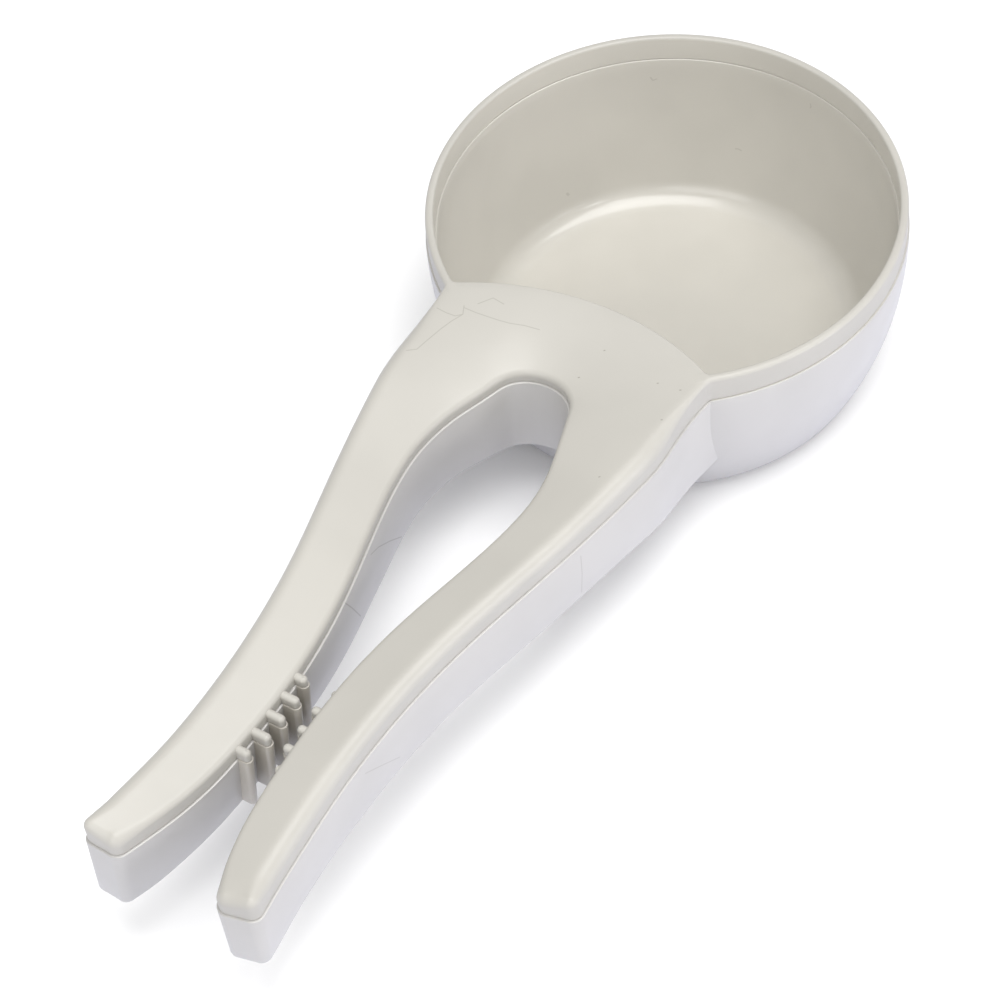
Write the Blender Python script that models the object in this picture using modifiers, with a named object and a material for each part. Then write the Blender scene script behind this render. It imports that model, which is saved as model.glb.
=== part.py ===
"""Scoop with a two-legged clip for a handle, moulded in an upper and a lower shell.

Metres, +Z up. The origin is the middle of the cup's flat underside, and the handle lies
along -Y. Depths are measured down from the top of the rim.
"""

import math

import bmesh
import bpy
from mathutils import Matrix, Vector

# Cup sizes
RIM_RADIUS = 0.0480
CUP_HEIGHT = 0.0415
LIP_WIDTH = 0.0018
LIP_ROUND = 0.0006
BAND_FLARE = 0.0002
BOWL_PROUD = 0.0002
SEAM_DEPTH = 0.0058
WALL = 0.0021
FLOOR = 0.0022
BARREL_RADIUS = 0.0750
BARREL_DEPTH = 0.0080
FOOT_ROUND = 0.0060
FLOOR_ROUND = 0.0100

# Handle sizes
SKIN = 0.0018
OUTER_ROUND = 0.0032
INNER_ROUND = 0.0014
WEB_ROUND = 0.0004
UNDER_ROUND = 0.0010
SIDE_DRAFT = 0.0010
ARC_DRAFT = 0.0010
ARC_FOOT_ROUND = 0.0060
TIP_ROUND = 0.0016
TIP_FALL = 0.0012
TIP_RISE = 0.0022
TIP_LEAN = 0.0012
TIP_SLANT = 0.0017
TIP_REACH = 0.0026
TIP_WALL = 0.0052

# Rib sizes
RIB_WIDTH = 0.0017
RIB_PITCH = 0.00444
RIB_ROOT = 0.0012
RIB_HEAD_FALL = 0.0001
RIB_HEAD_TOP = 0.0001
RIB_DRAFT = 0.0018
RIB_THIN = 0.0002
RIB_SHORT = 0.0006

# Clearances and overlaps
GAP = 0.0003
JOIN = 0.0010
CHEEK_SET = 0.00005
MERGE = 0.00001

# Outlines of the handle in plan, as shares of the rim's radius: behind the cup, then aside
OUTER_SHARES = (
    (0.78, 0.600), (0.88, 0.588), (1.03, 0.590), (1.194, 0.594), (1.538, 0.542),
    (1.881, 0.468), (2.225, 0.390), (2.569, 0.338), (2.912, 0.319), (3.256, 0.334),
    (3.600, 0.376), (3.700, 0.392),
)
INNER_SHARES = (
    (1.08, 0.146), (1.14, 0.170), (1.24, 0.202), (1.34, 0.234), (1.557, 0.266),
    (1.914, 0.216), (2.271, 0.134), (2.629, 0.086), (2.986, 0.086), (3.343, 0.130),
    (3.625, 0.222), (3.700, 0.252),
)
CROWN_SHARES = ((1.000, 0.000), (1.008, 0.055), (1.034, 0.104), (1.080, 0.146), (1.112, 0.160))
UNDER_SHARES = (
    (0.50, 0.600), (0.75, 0.5625), (1.20, 0.496), (2.00, 0.462), (3.50, 0.428), (3.70, 0.424),
)

# How far the handle's top falls from its outer edge to the arch's edge
DROP_SHARES = ((1.0, 0.071), (1.5, 0.071), (2.2, 0.068), (2.9, 0.060), (3.4, 0.042), (3.7, 0.034))

# The arc where the web meets the open bowl: its radius, and its centre behind the cup
ARC_RADIUS = RIM_RADIUS * 1.204
ARC_BACK = RIM_RADIUS * 1.834

# Where the sections of the loft stand, as shares of the rim's radius behind the cup
SHOULDER_INNER_SHARES = (1.140, 1.170, 1.210, 1.260, 1.330)
SHOULDER_OUTER_SHARES = (0.830, 0.890, 0.980, 1.110, 1.260)
HINGE_SHARE = 1.420
CHEEK_SHARES = (0.90, 0.68)
LEG_SHARES = (
    1.54, 1.67, 1.80, 1.94, 2.08, 2.22, 2.36, 2.50, 2.63, 2.76, 2.89, 3.02, 3.15, 3.28, 3.40,
)
TIP_SHARE = 3.625
WEB_SPACE_SHARES = (0.60, 1.10, 0.572)
TIP_STEP_SHARES = (2.00, 1.00, 0.45, 0.12, 0.00)
FIRST_RIB_SHARE = 2.669
RIB_NOSE_SHARES = (0.056, 0.030, 0.030, 0.030, 0.056)

# Largest round edges, as shares of a section's width
OUTER_ROUND_SHARE = 0.45
INNER_ROUND_SHARE = 0.28
FLAT_SHARES = (0.75, 0.60, 0.40, 0.25)

# How finely the curves are cut
TURN_STEPS = 72
WALL_STEPS = 7
CORNER_STEPS = 5
EDGE_STEPS = 4
SOFT_EDGE_STEPS = 2
ARC_STEPS = 12

# Colours and surface, one row for each piece
RIM_PLASTIC = ("rim_plastic", (0.704, 0.672, 0.610), 0.30)
BOWL_PLASTIC = ("bowl_plastic", (0.665, 0.630, 0.565), 0.30)
YOKE_PLASTIC = ("yoke_plastic", (0.640, 0.615, 0.560), 0.36)
COVER_PLASTIC = ("cover_plastic", (0.700, 0.668, 0.606), 0.32)
SHELL_PLASTIC = ("shell_plastic", (0.650, 0.625, 0.572), 0.36)


def start():
    """Empties the scene and makes a collection for the parts and one for the cutters."""
    for thing in list(bpy.data.objects):
        bpy.data.objects.remove(thing, do_unlink=True)
    groups = []
    for name in ("clip_handled_scoop", "cutters"):
        group = bpy.data.collections.new(name)
        bpy.context.scene.collection.children.link(group)
        groups.append(group)
    return groups


def plastic(row):
    """A moulded plastic from its row of name, colour and roughness."""
    name, colour, roughness = row
    made = bpy.data.materials.new(name)
    made.use_nodes = True
    shader = made.node_tree.nodes["Principled BSDF"]
    shader.inputs["Base Color"].default_value = (*colour, 1.0)
    shader.inputs["Roughness"].default_value = roughness
    shader.inputs["Metallic"].default_value = 0.0
    return made


def add(name, mesh, row=None):
    """Puts a mesh in the scene, as a finished piece or, with no plastic, as a cutter."""
    thing = bpy.data.objects.new(name, mesh)
    if row is None:
        CUTTERS.objects.link(thing)
        thing.hide_render = True
        thing.display_type = "WIRE"
    else:
        PARTS.objects.link(thing)
        mesh.materials.append(plastic(row))
    return thing


def turned(name, profile, row=None, closed=False):
    """A turned piece from (radius, height) points, outer side running down."""
    mesh = bpy.data.meshes.new(name)
    count = len(profile)
    edges = [(i, i + 1) for i in range(count - 1)]
    if closed:
        edges.append((count - 1, 0))
    mesh.from_pydata([(r, 0, z) for r, z in profile], edges, [])
    thing = add(name, mesh, row)
    screw = thing.modifiers.new("turn", "SCREW")
    screw.steps = TURN_STEPS
    screw.render_steps = TURN_STEPS
    screw.use_merge_vertices = True
    screw.merge_threshold = MERGE
    screw.use_smooth_shade = True
    return thing


def loft(name, rings, row=None):
    """A closed solid through rings of the same number of points, capped at both ends."""
    work = bmesh.new()
    rows = [[work.verts.new(p) for p in ring] for ring in rings]
    count = len(rows[0])
    for near, far in zip(rows, rows[1:]):
        for i in range(count):
            j = (i + 1) % count
            work.faces.new((near[i], near[j], far[j], far[i]))
    work.faces.new(rows[0][::-1])
    work.faces.new(rows[-1])
    bmesh.ops.recalc_face_normals(work, faces=work.faces)
    bmesh.ops.triangulate(work, faces=work.faces)
    mesh = bpy.data.meshes.new(name)
    work.to_mesh(mesh)
    work.free()
    mesh.shade_smooth()
    mesh.set_sharp_from_angle(angle=math.radians(35))
    return add(name, mesh, row)


def gather(name, solids):
    """Joins separate solids into one mesh that serves as a single Boolean tool."""
    work = bmesh.new()
    for solid in solids:
        work.from_mesh(solid.data)
    mesh = bpy.data.meshes.new(name)
    work.to_mesh(mesh)
    work.free()
    for solid in solids:
        bpy.data.objects.remove(solid, do_unlink=True)
    return add(name, mesh)


def combine(thing, tool, operation):
    """Adds a Boolean that joins, cuts or crosses a piece with a tool."""
    step = thing.modifiers.new(operation.lower(), "BOOLEAN")
    step.operation = operation
    step.object = tool
    step.solver = "EXACT"


def smooth(table, at):
    """Height of a smooth line through (place, value) pairs."""
    last = len(table) - 2
    k = min(max(sum(1 for place, _ in table if place <= at) - 1, 0), last)

    def slope(i):
        low, high = max(i - 1, 0), min(i + 1, len(table) - 1)
        return (table[high][1] - table[low][1]) / (table[high][0] - table[low][0])

    span = table[k + 1][0] - table[k][0]
    t = (at - table[k][0]) / span
    rise = table[k][1] * (1 + 2 * t) * (1 - t) ** 2 + table[k + 1][1] * t * t * (3 - 2 * t)
    lean = slope(k) * t * (1 - t) ** 2 - slope(k + 1) * t * t * (1 - t)
    return rise + span * lean


def height(depth):
    """Height above the underside of a depth below the rim."""
    return CUP_HEIGHT - depth


def plan(back_share, aside):
    """Point in plan from a share behind the cup and a distance aside."""
    return Vector((aside, -back_share * RIM_RADIUS))


def inner_point(share):
    """Point of the arch's edge at a share behind the cup."""
    return plan(share, smooth(INNER_SHARES, share) * RIM_RADIUS)


def outer_point(share):
    """Point of the handle's outer edge at a share behind the cup."""
    return plan(share, smooth(OUTER_SHARES, share) * RIM_RADIUS)


def arc_point(angle, inset=0.0):
    """Point of the edge where the web meets the open bowl, or of a line set back from it."""
    radius = ARC_RADIUS - inset
    return Vector((radius * math.sin(angle), radius * math.cos(angle) - ARC_BACK))


def under_depth(point):
    """Depth of the handle's underside below the rim at a point in plan."""
    return smooth(UNDER_SHARES, -point.y / RIM_RADIUS) * RIM_RADIUS


def top_drop(point):
    """How far the handle's top lies below the rim along the arch's edge."""
    return smooth(DROP_SHARES, -point.y / RIM_RADIUS) * RIM_RADIUS


def quarter(reach, radius):
    """How far a round edge has drawn back at a distance from its end."""
    if reach >= radius:
        return 0.0
    return radius - math.sqrt(radius**2 - (radius - reach) ** 2)


def barrel(inset, corner, base, top):
    """Side and rounded foot of the bowl, top to bottom, set in from its outer skin."""
    centre = RIM_RADIUS + BAND_FLARE + BOWL_PROUD - BARREL_RADIUS
    middle = height(BARREL_DEPTH)
    radius = BARREL_RADIUS - inset
    foot = base + corner
    foot_radius = centre + math.sqrt((radius - corner) ** 2 - (foot - middle) ** 2)
    start_angle = math.asin((top - middle) / radius)
    end_angle = math.atan2(foot - middle, foot_radius - centre)
    points = []
    for i in range(WALL_STEPS):
        angle = start_angle + (end_angle - start_angle) * i / WALL_STEPS
        points.append((centre + radius * math.cos(angle), middle + radius * math.sin(angle)))
    for i in range(CORNER_STEPS + 1):
        angle = end_angle + (-math.pi / 2 - end_angle) * i / CORNER_STEPS
        points.append((foot_radius + corner * math.cos(angle), foot + corner * math.sin(angle)))
    return points


def solid_barrel(name, inset, top):
    """The bowl's outer form as a filled solid, used as a tool."""
    side = barrel(inset, FOOT_ROUND - inset, inset, top)
    return turned(name, [(0, top), *side, (0, inset)])


class Station:
    """One cross-section of the handle, from the arch's side to the outer side."""

    def __init__(self, inner, outer, outer_round=OUTER_ROUND, flare=BAND_FLARE, tip=None):
        self.reach = TIP_REACH * 2 if tip is None else tip
        pinch = quarter(self.reach, TIP_ROUND)
        across = (outer - inner).normalized()
        self.inner = inner + across * pinch
        self.across = across
        self.width = (outer - inner).length - 2 * pinch
        self.outer_round = min(outer_round, self.width * OUTER_ROUND_SHARE)
        self.inner_round = min(INNER_ROUND, self.width * INNER_ROUND_SHARE)
        self.flare = flare
        self.fall = TIP_FALL * quarter(self.reach, TIP_REACH) / TIP_REACH
        self.rise = TIP_RISE * quarter(self.reach, TIP_REACH) / TIP_REACH
        self.lean = max(0.0, 1 - self.reach / TIP_REACH) * TIP_LEAN
        self.hollow = self.reach >= TIP_WALL or tip is None
        self.depth = under_depth(inner)
        self.outer_depth = under_depth(outer)
        self.drop = top_drop(inner)

    def place(self, across, depth):
        """World point at a distance across the section and a depth below the rim."""
        flat = self.inner + self.across * across
        below = max(0.0, depth - SEAM_DEPTH) / self.depth
        return Vector((flat.x, flat.y + self.lean * below, height(depth)))

    def cover(self):
        """Section of the upper shell: two round edges over a channel open below."""
        low = self.drop + self.fall
        high = self.fall
        width = self.width
        spots = [(-BAND_FLARE, SEAM_DEPTH)]
        for i in range(EDGE_STEPS):
            turn = math.pi / 2 * i / (EDGE_STEPS - 1)
            drop = low + self.inner_round * (1 - math.sin(turn))
            spots.append((self.inner_round * (1 - math.cos(turn)), drop))
        middle = (self.inner_round + width - self.outer_round) / 2
        spots.append((middle, (low + high) / 2))
        for i in range(EDGE_STEPS + 1):
            turn = math.pi / 2 * i / EDGE_STEPS
            drop = high + self.outer_round * (1 - math.cos(turn))
            spots.append((width - self.outer_round * (1 - math.sin(turn)), drop))
        spots.append((width + self.flare, SEAM_DEPTH))
        right = width - SKIN
        if self.hollow:
            inside = ((right, SEAM_DEPTH), (right, high + SKIN),
                      (SKIN, low + SKIN), (SKIN, SEAM_DEPTH))
        else:
            inside = flat_line(width, SEAM_DEPTH)
        spots.extend(inside)
        return [self.place(u, d) for u, d in spots]

    def shell(self):
        """Section of the lower shell: a channel open above, with a rounded underside."""
        top = SEAM_DEPTH + GAP
        base, outer_base = self.depth - self.rise, self.outer_depth - self.rise
        proud = BAND_FLARE + BOWL_PROUD
        left, right = -proud + SIDE_DRAFT, self.width + proud - SIDE_DRAFT
        spots = [(self.width + proud, top)]
        for i in range(SOFT_EDGE_STEPS + 1):
            turn = math.pi / 2 * i / SOFT_EDGE_STEPS
            drop = outer_base - UNDER_ROUND * (1 - math.sin(turn))
            spots.append((right - UNDER_ROUND * (1 - math.cos(turn)), drop))
        for i in range(SOFT_EDGE_STEPS + 1):
            turn = math.pi / 2 * i / SOFT_EDGE_STEPS
            drop = base - UNDER_ROUND * (1 - math.cos(turn))
            spots.append((left + UNDER_ROUND * (1 - math.sin(turn)), drop))
        spots.append((-proud, top))
        if self.hollow:
            inside = ((SKIN - proud, top), (left + SKIN, base - SKIN),
                      (right - SKIN, outer_base - SKIN), (self.width + proud - SKIN, top))
        else:
            inside = flat_line(self.width, top)[::-1]
        spots.extend(inside)
        return [self.place(u, d) for u, d in spots]

    def space(self):
        """Plain section that encloses the lower shell with clearance, open to the rim."""
        out = BAND_FLARE + BOWL_PROUD + GAP * 2
        left, right = -out, self.width + out
        spots = [(right, 0), (right, self.outer_depth + GAP), (left, self.depth + GAP), (left, 0)]
        return [self.place(u, d) for u, d in spots]


def flat_line(width, depth):
    """Four points across a section whose channel has ended, from the outer side in."""
    return [(width * share, depth) for share in FLAT_SHARES]


def root_stations(inset=0.0):
    """Sections from the crown's middle to the right hinge line, set back from the arc."""
    stations = []
    end_radius = RIM_RADIUS - LIP_WIDTH / 2
    cosine = (ARC_RADIUS**2 + ARC_BACK**2 - end_radius**2) / (2 * ARC_RADIUS * ARC_BACK)
    end_angle = math.acos(cosine)
    for i, (share, aside) in enumerate(CROWN_SHARES):
        outer = arc_point(end_angle * i / (len(CROWN_SHARES) - 1), inset)
        stations.append(Station(plan(share, aside * RIM_RADIUS), outer, WEB_ROUND, 0.0))
    for inner, outer in zip(SHOULDER_INNER_SHARES, SHOULDER_OUTER_SHARES):
        stations.append(Station(inner_point(inner), outer_point(outer)))
    hinge = HINGE_SHARE - GAP / 2 / RIM_RADIUS
    stations.append(Station(inner_point(hinge), outer_point(hinge)))
    return stations


def leg_stations():
    """Sections from the hinge line to the tip of the right leg."""
    shares = [HINGE_SHARE + GAP / 2 / RIM_RADIUS, *LEG_SHARES]
    stations = [Station(inner_point(s), outer_point(s)) for s in shares]
    for step in TIP_STEP_SHARES:
        reach = TIP_REACH * step
        share = TIP_SHARE - reach / RIM_RADIUS
        slant = TIP_SLANT / RIM_RADIUS
        outer = outer_point(share - slant)
        stations.append(Station(inner_point(share), outer, tip=reach))
    return stations


def mirrored(ring):
    """The same ring on the other side of the handle's middle."""
    return [Vector((-p.x, p.y, p.z)) for p in ring]


def both_sides(rings):
    """Rings of one continuous loft from the left hinge line to the right one."""
    return [mirrored(ring) for ring in rings[:0:-1]] + rings


def pill(root, nose, back, half, depth, cut):
    """Outline of a rib with a round nose, seen from above, drawn in by a cut."""
    half = half - cut
    points = [Vector((root, back - half, height(depth))), Vector((root, back + half, height(depth)))]
    centre = nose + half + cut
    for i in range(EDGE_STEPS * 2 + 1):
        turn = math.pi * i / (EDGE_STEPS * 2)
        x = centre - half * math.sin(turn)
        points.append(Vector((x, back + half * math.cos(turn), height(depth))))
    return points


def rib_places():
    """Where each rib stands: distance behind the cup, nose, and the leg's face."""
    for i, nose in enumerate(RIB_NOSE_SHARES):
        back = FIRST_RIB_SHARE + i * RIB_PITCH / RIM_RADIUS
        face = smooth(INNER_SHARES, back) * RIM_RADIUS
        yield -back * RIM_RADIUS, nose * RIM_RADIUS, face + RIB_ROOT


def rib_heads(side):
    """The rounded tops of the ribs on the upper shell of one leg."""
    heads = []
    half = RIB_WIDTH / 2
    for back, nose, root in rib_places():
        top = top_drop(Vector((0, back))) + RIB_HEAD_FALL
        rings = [pill(root, nose, back, half, SEAM_DEPTH, 0.0)]
        for i in range(EDGE_STEPS + 1):
            turn = math.pi / 2 * i / EDGE_STEPS
            cut = (half - RIB_HEAD_TOP) * (1 - math.cos(turn))
            depth = top + (half - RIB_HEAD_TOP) * (1 - math.sin(turn))
            rings.append(pill(root, nose, back, half, depth, cut))
        heads.append(loft("head", rings if side > 0 else [mirrored(r) for r in rings]))
    return gather("rib_heads", heads)


def rib_fins(side):
    """The long fins of the ribs on the lower shell of one leg."""
    fins = []
    half = RIB_WIDTH / 2
    for back, nose, root in rib_places():
        base = under_depth(Vector((0, back))) - RIB_SHORT
        fall = min(RIB_DRAFT, root - RIB_ROOT - nose)
        rings = []
        for depth, cut in (
            (SEAM_DEPTH + GAP, 0.0),
            (base - RIB_THIN, RIB_THIN),
            (base, RIB_THIN * 2),
        ):
            slide = fall * (depth - SEAM_DEPTH) / (base - SEAM_DEPTH)
            rings.append(pill(root, nose + slide, back, half, depth, cut))
        fins.append(loft("fin", rings if side > 0 else [mirrored(r) for r in rings]))
    return gather("rib_fins", fins)


def web_space():
    """Box that opens the rim's band where the web takes its place."""
    near, far = WEB_SPACE_SHARES[0] * RIM_RADIUS, WEB_SPACE_SHARES[1] * RIM_RADIUS
    half = WEB_SPACE_SHARES[2] * RIM_RADIUS
    work = bmesh.new()
    bmesh.ops.create_cube(work, size=1.0)
    bmesh.ops.scale(work, vec=(half * 2, far - near, CUP_HEIGHT), verts=work.verts)
    middle = (0, -(near + far) / 2, CUP_HEIGHT)
    bmesh.ops.translate(work, vec=middle, verts=work.verts)
    mesh = bpy.data.meshes.new("web_space")
    work.to_mesh(mesh)
    work.free()
    return add("web_space", mesh)


def make_rim_and_web():
    """The rim's band and the web behind it, with the roots of both legs' covers."""
    outer, inner = RIM_RADIUS, RIM_RADIUS - LIP_WIDTH
    profile = []
    for i in range(EDGE_STEPS):
        turn = math.pi / 2 * i / (EDGE_STEPS - 1)
        back = LIP_ROUND * (1 - math.sin(turn))
        profile.append((outer - back, height(LIP_ROUND * (1 - math.cos(turn)))))
    profile.append((outer + BAND_FLARE, height(SEAM_DEPTH)))
    profile.append((inner, height(SEAM_DEPTH)))
    for i in range(EDGE_STEPS):
        turn = math.pi / 2 * i / (EDGE_STEPS - 1)
        back = LIP_ROUND * (1 - math.cos(turn))
        profile.append((inner + back, height(LIP_ROUND * (1 - math.sin(turn)))))
    rim = turned("rim_and_web", profile, RIM_PLASTIC, closed=True)
    combine(rim, web_space(), "DIFFERENCE")
    web = loft("web", both_sides([s.cover() for s in root_stations()]))
    combine(rim, web, "UNION")
    return rim


def arc_clearance():
    """How far the lower shell stays behind the arc's edge, to clear the bowl's arc wall."""
    return WALL + GAP + BAND_FLARE + BOWL_PROUD


def make_bowl():
    """The turned bowl with the curved wall that closes it under the web's edge."""
    top = height(SEAM_DEPTH + GAP)
    outside = barrel(0.0, FOOT_ROUND, 0.0, top)
    inside = barrel(WALL, FLOOR_ROUND, FLOOR, top)
    profile = [(0, FLOOR), *inside[::-1], *outside, (0, 0)]
    bowl = turned("bowl", profile, BOWL_PLASTIC)
    levels = [(FLOOR - JOIN, ARC_FOOT_ROUND)]
    for i in range(EDGE_STEPS + 1):
        rise = ARC_FOOT_ROUND * (1 - math.cos(math.pi / 2 * i / EDGE_STEPS))
        levels.append((FLOOR + rise, quarter(rise, ARC_FOOT_ROUND)))
    levels.append((top, 0.0))
    rings = []
    for level, foot in levels:
        front = ARC_RADIUS + foot + ARC_DRAFT * (top - level) / top
        back = ARC_RADIUS - WALL
        half = math.radians(40)
        turns = [half * (2 * i / ARC_STEPS - 1) for i in range(ARC_STEPS + 1)]
        ring = [(front, t) for t in turns] + [(back, t) for t in turns[::-1]]
        rings.append([
            Vector((r * math.sin(t), r * math.cos(t) - ARC_BACK, level)) for r, t in ring
        ])
    space = loft("yoke_space", both_sides([s.space() for s in root_stations(arc_clearance())]))
    combine(bowl, space, "DIFFERENCE")
    wall = loft("arc_wall", rings)
    combine(wall, solid_barrel("arc_limit", WALL / 2, height(0)), "INTERSECT")
    combine(bowl, wall, "UNION")
    return bowl


def cheek(share):
    """Section of the plate that carries the yoke's side on to the bowl's round wall."""
    edge = outer_point(share)
    top, base = SEAM_DEPTH + GAP, under_depth(edge)
    out = edge.x + BAND_FLARE + BOWL_PROUD - CHEEK_SET
    low_out = out - SIDE_DRAFT
    spots = [
        (out, top),
        (low_out, base - UNDER_ROUND),
        (low_out - UNDER_ROUND, base - CHEEK_SET),
        (low_out - SKIN, base - CHEEK_SET),
        (out - SKIN, top),
    ]
    return [Vector((x, edge.y, height(depth))) for x, depth in spots]


def arc_drum():
    """Cylinder just behind the bowl's arc wall, where the lower shell may reach."""
    radius = ARC_RADIUS - WALL - GAP / 2
    work = bmesh.new()
    bmesh.ops.create_cone(work, cap_ends=True, segments=TURN_STEPS, radius1=radius,
                          radius2=radius, depth=CUP_HEIGHT * 3)
    bmesh.ops.translate(work, vec=(0, -ARC_BACK, 0), verts=work.verts)
    mesh = bpy.data.meshes.new("arc_drum")
    work.to_mesh(mesh)
    work.free()
    return add("arc_drum", mesh)


def make_yoke():
    """The lower shell between the bowl and the two legs."""
    stations = root_stations(arc_clearance())
    yoke = loft("yoke_shell", both_sides([s.shell() for s in stations]), YOKE_PLASTIC)
    rings = [cheek(share) for share in CHEEK_SHARES]
    right = loft("right_cheek", rings)
    left = loft("left_cheek", [mirrored(ring) for ring in rings])
    combine(yoke, gather("cheeks", [left, right]), "UNION")
    space = solid_barrel("bowl_space", -GAP, height(0))
    combine(space, arc_drum(), "DIFFERENCE")
    combine(yoke, space, "DIFFERENCE")
    return yoke


def make_leg(side, name):
    """One leg: a cover and a shell with ribs, hung from a hinge line at its root."""
    pivot = outer_point(HINGE_SHARE)
    hinge = bpy.data.objects.new(name + "_hinge", None)
    hinge.empty_display_size = SEAM_DEPTH
    hinge.location = (side * (pivot.x + BAND_FLARE + BOWL_PROUD), pivot.y, height(SEAM_DEPTH))
    PARTS.objects.link(hinge)
    stations = leg_stations()
    covers = [s.cover() for s in stations]
    shells = [s.shell() for s in stations]
    if side < 0:
        covers = [mirrored(ring) for ring in covers]
        shells = [mirrored(ring) for ring in shells]
    cover = loft(name + "_cover", covers, COVER_PLASTIC)
    heads = rib_heads(side)
    combine(cover, heads, "UNION")
    shell = loft(name + "_shell", shells, SHELL_PLASTIC)
    fins = rib_fins(side)
    combine(shell, fins, "UNION")
    for piece in (cover, heads, shell, fins):
        piece.data.transform(Matrix.Translation(-hinge.location))
        piece.parent = hinge
    return cover, shell


PARTS, CUTTERS = start()
make_rim_and_web()
make_bowl()
make_yoke()
make_leg(-1, "left_leg")
make_leg(1, "right_leg")
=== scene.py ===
import math

import bmesh
import bpy
import numpy as np
from mathutils import Matrix, Vector
from mathutils.kdtree import KDTree


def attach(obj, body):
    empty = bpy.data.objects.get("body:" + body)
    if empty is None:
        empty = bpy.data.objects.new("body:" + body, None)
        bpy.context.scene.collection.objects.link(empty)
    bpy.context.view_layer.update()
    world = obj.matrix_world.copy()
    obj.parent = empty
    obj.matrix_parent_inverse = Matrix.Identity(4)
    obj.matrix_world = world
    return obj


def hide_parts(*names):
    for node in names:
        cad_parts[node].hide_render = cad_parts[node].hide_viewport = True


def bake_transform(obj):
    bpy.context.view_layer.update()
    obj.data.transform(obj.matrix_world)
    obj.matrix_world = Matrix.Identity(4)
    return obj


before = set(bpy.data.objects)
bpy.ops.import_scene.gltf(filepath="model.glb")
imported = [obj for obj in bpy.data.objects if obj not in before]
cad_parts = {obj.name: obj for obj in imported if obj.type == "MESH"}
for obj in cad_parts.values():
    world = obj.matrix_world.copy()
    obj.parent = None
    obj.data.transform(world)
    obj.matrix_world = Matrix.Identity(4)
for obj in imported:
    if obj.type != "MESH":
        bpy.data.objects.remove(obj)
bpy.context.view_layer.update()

# ---------------------------------------------------------------- Bowl
# The measuring tub, moulded in one piece of warm grey plastic: gently barrelled sides, a
# flat floor with round corners, and a curved wall that closes it under the handle's web.
RIM = 0.0480
HIGH = 0.0415
SEAM = 0.0058
GROOVE = 0.00008
LEDGE = 0.00020
BARREL = 0.0750
BARREL_AT = 0.0080
OUT_RADIUS = RIM + 0.00036
IN_RADIUS = RIM - 0.00188
FLOOR = 0.0017
FOOT_ROUND = 0.0060
FLOOR_ROUND = 0.0062
ARC = RIM * 1.204
ARC_AT = RIM * 1.834
ARC_SET = 0.0004
ARC_LEAN = 0.0010
ARC_FOOT = 0.0050
CORNER = 0.0015
TURN = math.radians(2.6)
TURN_FROM, TURN_TO, TURN_OVER = 0.2, 1.35, 0.7
FLOOR_MIDDLE = (0.0, 0.006)
ARC_CUTS, CORNER_CUTS, ROUND_CUTS, LEVELS = 44, 10, 130, 12
# The bowl's grey is lighter and warmer than the other greys of the same plastic: painted warm
# bounce light inside the tub.
BOWL_PAINTED_LIGHT_COLOUR = (0.560, 0.540, 0.490)
CLOUD_SCALE, CLOUD_DEPTH = 45.0, 0.025
POLISH_SCALE, POLISH_DOWN, POLISH_UP = 160.0, 0.025, 0.035
GRAIN_SCALE, GRAIN_STRENGTH, GRAIN_DEPTH = 900.0, 0.05, 0.0002
COAT_ROUGHNESS = 0.14

stretch = np.repeat([0, 1, 2], [ARC_CUTS, CORNER_CUTS, ROUND_CUTS + 1])
along = np.concatenate([
    np.arange(ARC_CUTS) / ARC_CUTS,
    np.arange(CORNER_CUTS) / CORNER_CUTS,
    np.linspace(0, 1, ROUND_CUTS + 1),
])
web_side = np.choose(stretch, [1.0 + 0 * along, 1 - along, 0 * along])


def mouth(radius, bite):
    """Right half of the mouth's outline: the web's arc, a round corner, the round wall."""
    reach, back = radius - CORNER, bite + CORNER
    cy = (back**2 - reach**2 - ARC_AT**2) / (2 * ARC_AT)
    cx = math.sqrt(reach**2 - cy**2)
    sweep = math.atan2(cx, cy + ARC_AT) * along
    low, high = math.atan2(-cy - ARC_AT, -cx), math.atan2(cy, cx)
    turn = low + (high - low) * along
    around = high + (math.pi / 2 - high) * along
    x = [bite * np.sin(sweep), cx + CORNER * np.cos(turn), radius * np.cos(around)]
    y = [bite * np.cos(sweep) - ARC_AT, cy + CORNER * np.sin(turn), radius * np.sin(around)]
    line = np.stack([np.choose(stretch, x), np.choose(stretch, y)], 1)
    line[[0, -1], 0] = 0
    return line


def wall_radius(z, inset=0.0, widest=OUT_RADIUS):
    """Radius of the barrelled side at a height, set in from the outer skin."""
    return widest - BARREL + np.sqrt((BARREL - inset) ** 2 - (z - HIGH + BARREL_AT) ** 2)


def side_profile(inset, base, corner, cuts, top):
    """Points (radius, height) down a barrelled side and round its foot to the flat."""
    centre, middle = OUT_RADIUS - BARREL, HIGH - BARREL_AT
    foot_at = centre + math.sqrt((BARREL - inset - corner) ** 2 - (base + corner - middle) ** 2)
    start = math.asin((top - middle) / (BARREL - inset))
    end = math.atan2(base + corner - middle, foot_at - centre)
    wall = np.linspace(start, end, cuts, endpoint=False)
    foot = np.linspace(end, -math.pi / 2, cuts)
    wall_z = middle + (BARREL - inset) * np.sin(wall)
    wall = np.stack([centre + (BARREL - inset) * np.cos(wall), wall_z], 1)
    foot = np.stack([foot_at + corner * np.cos(foot), base + corner + corner * np.sin(foot)], 1)
    return np.concatenate([wall, foot])


def mirror(points):
    """The same points on the other side of the middle."""
    return points * np.where(np.arange(points.shape[-1]) == 0, -1.0, 1.0)


def smooth(share):
    """A share from 0 to 1, limited to that range and eased at both ends."""
    share = np.clip(share, 0, 1)
    return share**2 * (3 - 2 * share)


def turned(x, y):
    """Places in plan, turned a little about the cup's axis round the web's arc."""
    angle = TURN * smooth((TURN_FROM - y / RIM) / TURN_OVER)
    angle = angle * smooth((TURN_TO + y / RIM) / TURN_OVER)
    return x * np.cos(angle) - y * np.sin(angle), x * np.sin(angle) + y * np.cos(angle)


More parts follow.
